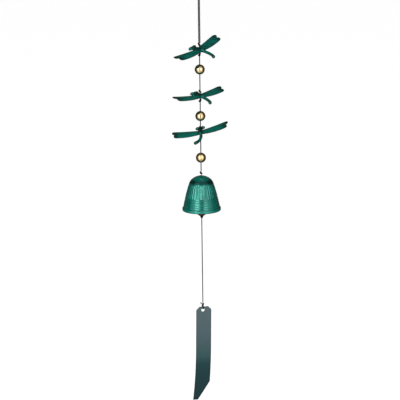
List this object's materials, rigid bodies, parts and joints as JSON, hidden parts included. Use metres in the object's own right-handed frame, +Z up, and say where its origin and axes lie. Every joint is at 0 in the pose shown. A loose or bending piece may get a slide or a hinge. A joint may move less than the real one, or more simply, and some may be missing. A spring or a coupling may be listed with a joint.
{
  "type": "furin wind bell",
  "caption": "Small iron wind bell hung on a knotted cord below dragonflies and brass beads, with a brass clapper inside and a hanging tag that catches the wind.",
  "frame": {"origin": "the point at the top inside of the hanging loop, where the hook carries the wind bell", "axes": "+Z up, along the cord; the front of the object faces -Y and +X is to the right seen from the front"},
  "size_m": [0.0789, 0.073, 0.6116],
  "materials": {
    "cord": "tight braided black cord, matt",
    "knot": "black cord pulled tight, matt",
    "dragonfly_lacquer": "cast iron with teal green lacquer, darker on the edges",
    "bead_brass": "polished brass",
    "bell_lacquer": "cast iron with glossy teal green lacquer",
    "clapper_brass": "brass, lightly tarnished",
    "tag_card": "stiff coated card, blue grey with a fine dot grain"
  },
  "bodies": {
    "hook_loop": {"hanging_loop": "cord"},
    "loop_knot": {"loop_knot": "knot"},
    "upper_strands": {"upper_cord_left": "cord", "upper_cord_right": "cord"},
    "string": {"upper_bead_cord": "cord", "upper_bead_stop_knot": "knot", "upper_dragonfly_inner_cord": "cord", "upper_dragonfly_stop_knot": "knot", "upper_dragonfly_top_knot": "knot", "middle_bead_cord": "cord", "middle_bead_stop_knot": "knot", "middle_dragonfly_inner_cord": "cord", "middle_dragonfly_stop_knot": "knot", "middle_dragonfly_top_knot": "knot", "middle_dragonfly_upper_cord": "cord", "lower_bead_cord": "cord", "lower_bead_stop_knot": "knot", "lower_dragonfly_inner_cord": "cord", "lower_dragonfly_stop_knot": "knot", "lower_dragonfly_top_knot": "knot", "lower_dragonfly_upper_cord": "cord", "bell_upper_cord": "cord"},
    "upper_dragonfly": {"upper_dragonfly": "dragonfly_lacquer"},
    "upper_bead": {"upper_bead": "bead_brass"},
    "middle_dragonfly": {"middle_dragonfly": "dragonfly_lacquer"},
    "middle_bead": {"middle_bead": "bead_brass"},
    "lower_dragonfly": {"lower_dragonfly": "dragonfly_lacquer"},
    "lower_bead": {"lower_bead": "bead_brass"},
    "bell_knot": {"bell_top_knot": "knot"},
    "bell_neck": {"bell_inner_cord": "cord"},
    "bell": {"bell": "bell_lacquer"},
    "stop_knot": {"bell_stop_knot": "knot"},
    "clapper": {"clapper_cord": "cord", "clapper": "clapper_brass"},
    "clapper_knot": {"clapper_knot": "knot"},
    "tag_line": {"tag_cord": "cord"},
    "tag_knot": {"tag_knot": "knot"},
    "tag": {"tag": "tag_card"}
  },
  "joints": [
    {"name": "string_swing_front", "type": "hinge", "parent": "hook_loop", "child": "loop_knot", "pos_m": [0, 0, -0.026], "axis": [1, 0, 0], "range_deg": [-40, 40]},
    {"name": "string_swing_side", "type": "hinge", "parent": "loop_knot", "child": "upper_strands", "pos_m": [0, 0, -0.026], "axis": [0, 1, 0], "range_deg": [-40, 40]},
    {"name": "string_turn", "type": "hinge", "parent": "upper_strands", "child": "string", "pos_m": [0, 0, -0.0654], "axis": [0, 0, 1], "continuous": true},
    {"name": "upper_dragonfly_spin", "type": "hinge", "parent": "string", "child": "upper_dragonfly", "pos_m": [0, 0, -0.1048], "axis": [0, 0, 1], "continuous": true},
    {"name": "upper_bead_spin", "type": "hinge", "parent": "string", "child": "upper_bead", "pos_m": [0, 0, -0.1324], "axis": [0, 0, 1], "continuous": true},
    {"name": "middle_dragonfly_spin", "type": "hinge", "parent": "string", "child": "middle_dragonfly", "pos_m": [0, 0, -0.1709], "axis": [0, 0, 1], "continuous": true},
    {"name": "middle_bead_spin", "type": "hinge", "parent": "string", "child": "middle_bead", "pos_m": [0, 0, -0.1993], "axis": [0, 0, 1], "continuous": true},
    {"name": "lower_dragonfly_spin", "type": "hinge", "parent": "string", "child": "lower_dragonfly", "pos_m": [0, 0, -0.223], "axis": [0, 0, 1], "continuous": true},
    {"name": "lower_bead_spin", "type": "hinge", "parent": "string", "child": "lower_bead", "pos_m": [0, 0, -0.2591], "axis": [0, 0, 1], "continuous": true},
    {"name": "bell_swing_front", "type": "hinge", "parent": "string", "child": "bell_knot", "pos_m": [0, 0, -0.2811], "axis": [1, 0, 0], "range_deg": [-35, 35]},
    {"name": "bell_swing_side", "type": "hinge", "parent": "bell_knot", "child": "bell_neck", "pos_m": [0, 0, -0.2811], "axis": [0, 1, 0], "range_deg": [-35, 35]},
    {"name": "bell_turn", "type": "hinge", "parent": "bell_neck", "child": "bell", "pos_m": [0, 0, -0.2849], "axis": [0, 0, 1], "continuous": true},
    {"name": "clapper_turn", "type": "hinge", "parent": "bell_neck", "child": "stop_knot", "pos_m": [0, 0, -0.29025], "axis": [0, 0, 1], "continuous": true},
    {"name": "clapper_swing", "type": "hinge", "parent": "stop_knot", "child": "clapper", "pos_m": [0, 0, -0.29025], "axis": [1, 0, 0], "range_deg": [-20, 20]},
    {"name": "tag_line_swing_front", "type": "hinge", "parent": "clapper", "child": "clapper_knot", "pos_m": [0, 0, -0.3433], "axis": [1, 0, 0], "range_deg": [-40, 40]},
    {"name": "tag_line_swing_side", "type": "hinge", "parent": "clapper_knot", "child": "tag_line", "pos_m": [0, 0, -0.3433], "axis": [0, 1, 0], "range_deg": [-40, 40]},
    {"name": "tag_turn", "type": "hinge", "parent": "tag_line", "child": "tag_knot", "pos_m": [0, 0, -0.4709], "axis": [0, 0, 1], "continuous": true},
    {"name": "tag_flap", "type": "hinge", "parent": "tag_knot", "child": "tag", "pos_m": [0, 0, -0.47485], "axis": [0.9397, 0.342, 0], "range_deg": [-70, 70]}
  ]
}
